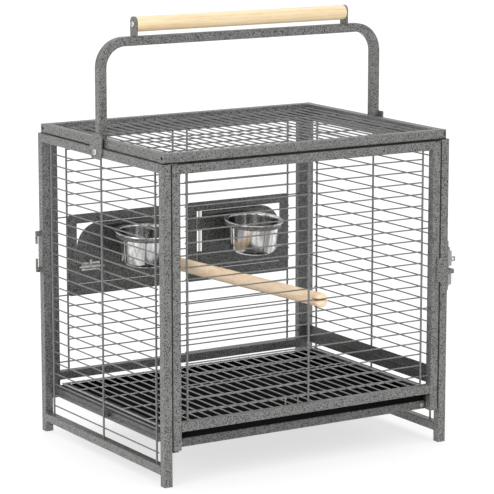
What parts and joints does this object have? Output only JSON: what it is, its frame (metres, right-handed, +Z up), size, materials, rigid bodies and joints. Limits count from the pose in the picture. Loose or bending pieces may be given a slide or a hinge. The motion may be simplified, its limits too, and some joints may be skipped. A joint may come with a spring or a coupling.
{
  "type": "poultry transport crate",
  "caption": "Upright wire transport cage with a hinged front door, swing-out feeder doors with bowls, perch, pull-out tray, lift-out grate and a wooden carrying grip.",
  "frame": {"origin": "on the floor, at the middle of the rectangle the four posts stand on", "axes": "+X to the right along the front, +Y from the front door to the back, +Z up"},
  "size_m": [0.502, 0.3723, 0.631],
  "materials": {
    "hammertone_grey": "speckled hammertone powder coat",
    "wire_grey": "silvery grey coated wire",
    "black_plastic": "fine-grained black",
    "black_tray": "smooth black coated sheet",
    "grip_wood": "clear-coated light maple",
    "perch_wood": "sanded raw beech",
    "stainless": "polished stainless steel",
    "satin_steel": "satin zinc-plated steel"
  },
  "bodies": {
    "cage": {"back_left_stile": "hammertone_grey", "back_low_rail": "hammertone_grey", "back_right_stile": "hammertone_grey", "back_top_rail": "hammertone_grey", "back_wires_high": "wire_grey", "back_wires_low": "wire_grey", "back_wires_middle": "wire_grey", "door_pivots": "hammertone_grey", "fasteners": "satin_steel", "feeder_hinge_rods": "satin_steel", "foot_plugs": "black_plastic", "front_low_rail": "hammertone_grey", "grip_tabs": "hammertone_grey", "handle_brackets": "hammertone_grey", "handle_tube": "hammertone_grey", "hook_bracket": "hammertone_grey", "latch_guides": "satin_steel", "left_back_post": "hammertone_grey", "left_feeder_frame": "hammertone_grey", "left_front_post": "hammertone_grey", "left_low_rail": "hammertone_grey", "left_top_rail": "hammertone_grey", "left_wire_panel": "wire_grey", "lid_back_rail": "hammertone_grey", "lid_front_rail": "hammertone_grey", "lid_side_rails": "hammertone_grey", "lid_wire_panel": "wire_grey", "perch": "perch_wood", "perch_fixing": "satin_steel", "right_back_post": "hammertone_grey", "right_feeder_frame": "hammertone_grey", "right_front_post": "hammertone_grey", "right_low_rail": "hammertone_grey", "right_top_rail": "hammertone_grey", "right_wire_panel": "wire_grey", "seed_guard": "hammertone_grey", "tray_guides": "black_plastic", "tray_runners": "hammertone_grey", "wooden_grip": "grip_wood"},
    "front_door": {"door_left_stile": "hammertone_grey", "door_right_stile": "hammertone_grey", "door_top_rail": "hammertone_grey", "door_low_rail": "hammertone_grey", "door_wire_panel": "wire_grey", "door_pivot_bushes": "hammertone_grey", "door_lock_plate": "hammertone_grey"},
    "front_latch_bolt": {"latch_bolt": "satin_steel"},
    "tray": {"tray": "black_tray"},
    "grate": {"grate": "wire_grey", "grate_loop": "wire_grey"},
    "left_feeder_door": {"left_feeder_door": "hammertone_grey", "left_feeder_ring": "hammertone_grey", "left_feeder_bolt_barrel": "satin_steel"},
    "left_bowl": {"left_bowl": "stainless"},
    "left_feeder_bolt": {"left_feeder_bolt": "satin_steel"},
    "right_feeder_door": {"right_feeder_door": "hammertone_grey", "right_feeder_ring": "hammertone_grey", "right_feeder_bolt_barrel": "satin_steel"},
    "right_bowl": {"right_bowl": "stainless"},
    "right_feeder_bolt": {"right_feeder_bolt": "satin_steel"}
  },
  "joints": [
    {"name": "front_door_hinge", "type": "hinge", "parent": "cage", "child": "front_door", "pos_m": [-0.2186, -0.1808, 0.25], "axis": [0, 0, -1], "range_deg": [0, 105]},
    {"name": "front_latch_slide", "type": "slide", "parent": "cage", "child": "front_latch_bolt", "axis": [0, 0, -1], "range_m": [0, 0.0105]},
    {"name": "tray_slide", "type": "slide", "parent": "cage", "child": "tray", "axis": [0, -1, 0], "range_m": [0, 0.3]},
    {"name": "grate_lift", "type": "slide", "parent": "cage", "child": "grate", "axis": [0, 0, 1], "range_m": [0, 0.1]},
    {"name": "left_feeder_hinge", "type": "hinge", "parent": "cage", "child": "left_feeder_door", "pos_m": [-0.0331, 0.17865, 0.263], "axis": [0, 0, -1], "range_deg": [0, 100]},
    {"name": "left_bowl_lift", "type": "slide", "parent": "left_feeder_door", "child": "left_bowl", "axis": [0, -0.0872, 0.9962], "range_m": [0, 0.045]},
    {"name": "left_feeder_bolt_slide", "type": "slide", "parent": "left_feeder_door", "child": "left_feeder_bolt", "axis": [-1, 0, 0], "range_m": [0, 0.0105]},
    {"name": "right_feeder_hinge", "type": "hinge", "parent": "cage", "child": "right_feeder_door", "pos_m": [0.0331, 0.17865, 0.263], "axis": [0, 0, 1], "range_deg": [0, 100]},
    {"name": "right_bowl_lift", "type": "slide", "parent": "right_feeder_door", "child": "right_bowl", "axis": [0, -0.0872, 0.9962], "range_m": [0, 0.045]},
    {"name": "right_feeder_bolt_slide", "type": "slide", "parent": "right_feeder_door", "child": "right_feeder_bolt", "axis": [1, 0, 0], "range_m": [0, 0.0105]}
  ]
}
